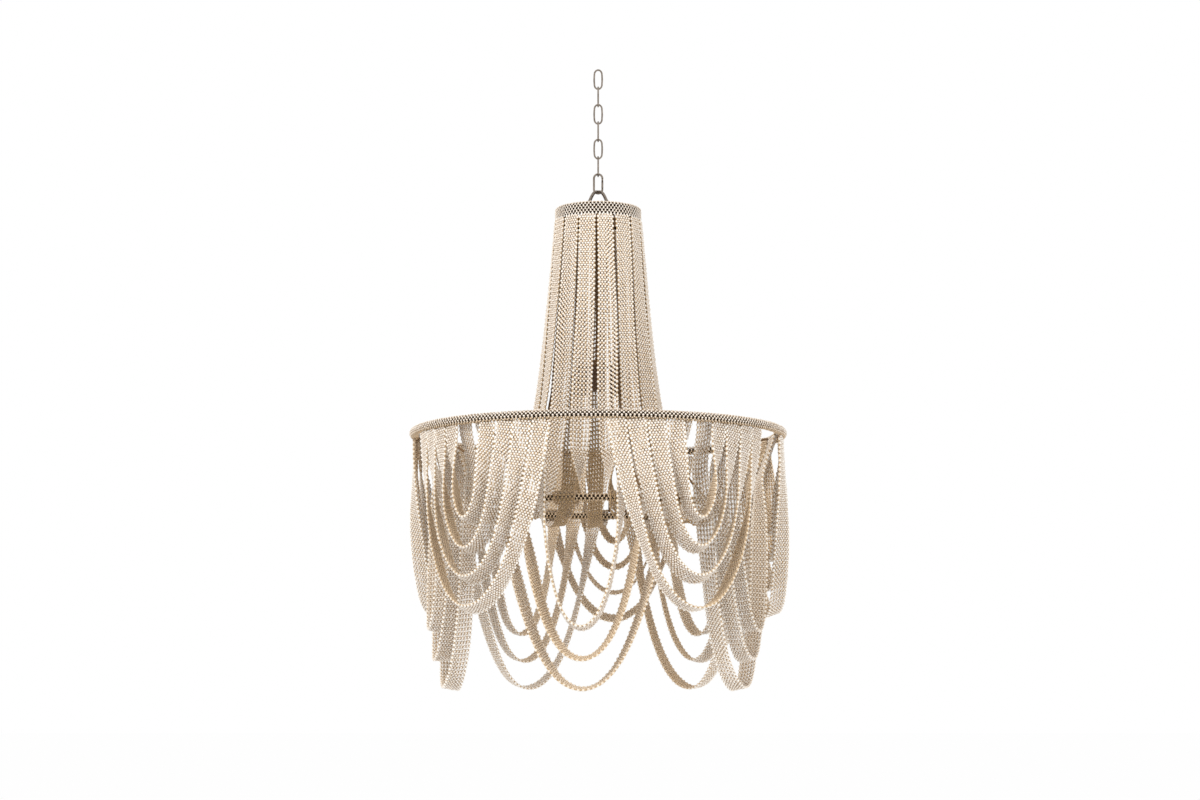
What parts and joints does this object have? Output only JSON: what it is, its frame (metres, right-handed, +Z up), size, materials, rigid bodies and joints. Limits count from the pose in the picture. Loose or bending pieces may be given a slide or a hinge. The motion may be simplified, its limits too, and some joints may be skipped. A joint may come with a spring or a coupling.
{
  "type": "beaded chandelier",
  "caption": "Hanging chandelier: chain and snap hook, bead-wrapped drum and rings, a flared column and two tiers of nested beaded swags.",
  "frame": {"origin": "inside of the top chain link's crown, where the ceiling hook carries it", "axes": "+Z up, -Y towards the viewer of the picture, +X to the viewer's right"},
  "size_m": [0.7692, 0.7697, 1.2714],
  "materials": {
    "brushed_nickel": "warm brushed nickel",
    "dark_bronze": "dark bronze paint, satin",
    "cream_beads": "cream painted wooden beads, satin",
    "brown_plastic": "moulded, matte"
  },
  "bodies": {
    "chain_link_1": {"chain_link_1": "brushed_nickel"},
    "chain_link_2": {"chain_link_2": "brushed_nickel"},
    "chain_link_3": {"chain_link_3": "brushed_nickel"},
    "lower_links": {"chain_link_4": "brushed_nickel", "chain_link_5": "brushed_nickel", "chain_link_6": "brushed_nickel"},
    "snap_hook": {"snap_hook_body": "brushed_nickel", "snap_hook_rivet": "brushed_nickel"},
    "snap_gate": {"snap_hook_gate": "brushed_nickel"},
    "chandelier": {"crown_frame": "dark_bronze", "column_skirt": "cream_beads", "wide_ring": "cream_beads", "inner_ring": "cream_beads", "ring_strut_1": "dark_bronze", "ring_strut_2": "dark_bronze", "ring_strut_3": "dark_bronze", "ring_strut_4": "dark_bronze", "ring_strut_5": "dark_bronze", "outer_swag_1_1": "cream_beads", "outer_swag_1_2": "cream_beads", "outer_swag_1_3": "cream_beads", "outer_swag_1_4": "cream_beads", "outer_swag_2_1": "cream_beads", "outer_swag_2_2": "cream_beads", "outer_swag_2_3": "cream_beads", "outer_swag_2_4": "cream_beads", "outer_swag_3_1": "cream_beads", "outer_swag_3_2": "cream_beads", "outer_swag_3_3": "cream_beads", "outer_swag_3_4": "cream_beads", "outer_swag_4_1": "cream_beads", "outer_swag_4_2": "cream_beads", "outer_swag_4_3": "cream_beads", "outer_swag_4_4": "cream_beads", "outer_swag_5_1": "cream_beads", "outer_swag_5_2": "cream_beads", "outer_swag_5_3": "cream_beads", "outer_swag_5_4": "cream_beads", "lower_swag_1_1": "cream_beads", "lower_swag_1_2": "cream_beads", "lower_swag_1_3": "cream_beads", "lower_swag_2_1": "cream_beads", "lower_swag_2_2": "cream_beads", "lower_swag_2_3": "cream_beads", "lower_swag_3_1": "cream_beads", "lower_swag_3_2": "cream_beads", "lower_swag_3_3": "cream_beads", "lower_swag_4_1": "cream_beads", "lower_swag_4_2": "cream_beads", "lower_swag_4_3": "cream_beads", "lower_swag_5_1": "cream_beads", "lower_swag_5_2": "cream_beads", "lower_swag_5_3": "cream_beads", "stem_tube": "dark_bronze", "stem_nut": "dark_bronze", "cord_gland": "brown_plastic", "lamp_cluster": "dark_bronze", "lamp_holder_1": "brown_plastic", "lamp_holder_2": "brown_plastic", "lamp_holder_3": "brown_plastic"}
  },
  "joints": [
    {"name": "link_2_swing", "type": "hinge", "parent": "chain_link_1", "child": "chain_link_2", "pos_m": [0, 0, -0.03875], "axis": [1, 0, 0], "range_deg": [-30, 30]},
    {"name": "link_3_swing", "type": "hinge", "parent": "chain_link_2", "child": "chain_link_3", "pos_m": [0, 0, -0.07545], "axis": [0, 1, 0], "range_deg": [-30, 30]},
    {"name": "link_4_twist", "type": "hinge", "parent": "chain_link_3", "child": "lower_links", "pos_m": [0, 0, -0.11215], "axis": [0, 0, 1], "range_deg": [-25, 25]},
    {"name": "snap_hook_swing", "type": "hinge", "parent": "lower_links", "child": "snap_hook", "pos_m": [0, 0, -0.22225], "axis": [0, 1, 0], "range_deg": [-30, 30]},
    {"name": "gate_hinge", "type": "hinge", "parent": "snap_hook", "child": "snap_gate", "pos_m": [0.00865, 0, -0.2302], "axis": [0, 1, 0], "range_deg": [0, 28], "stiffness_Nm_per_rad": 0.02, "springref_deg": -17.19},
    {"name": "body_swing", "type": "hinge", "parent": "snap_hook", "child": "chandelier", "pos_m": [0, 0, -0.2584], "axis": [1, 0, 0], "range_deg": [-12, 12]}
  ]
}
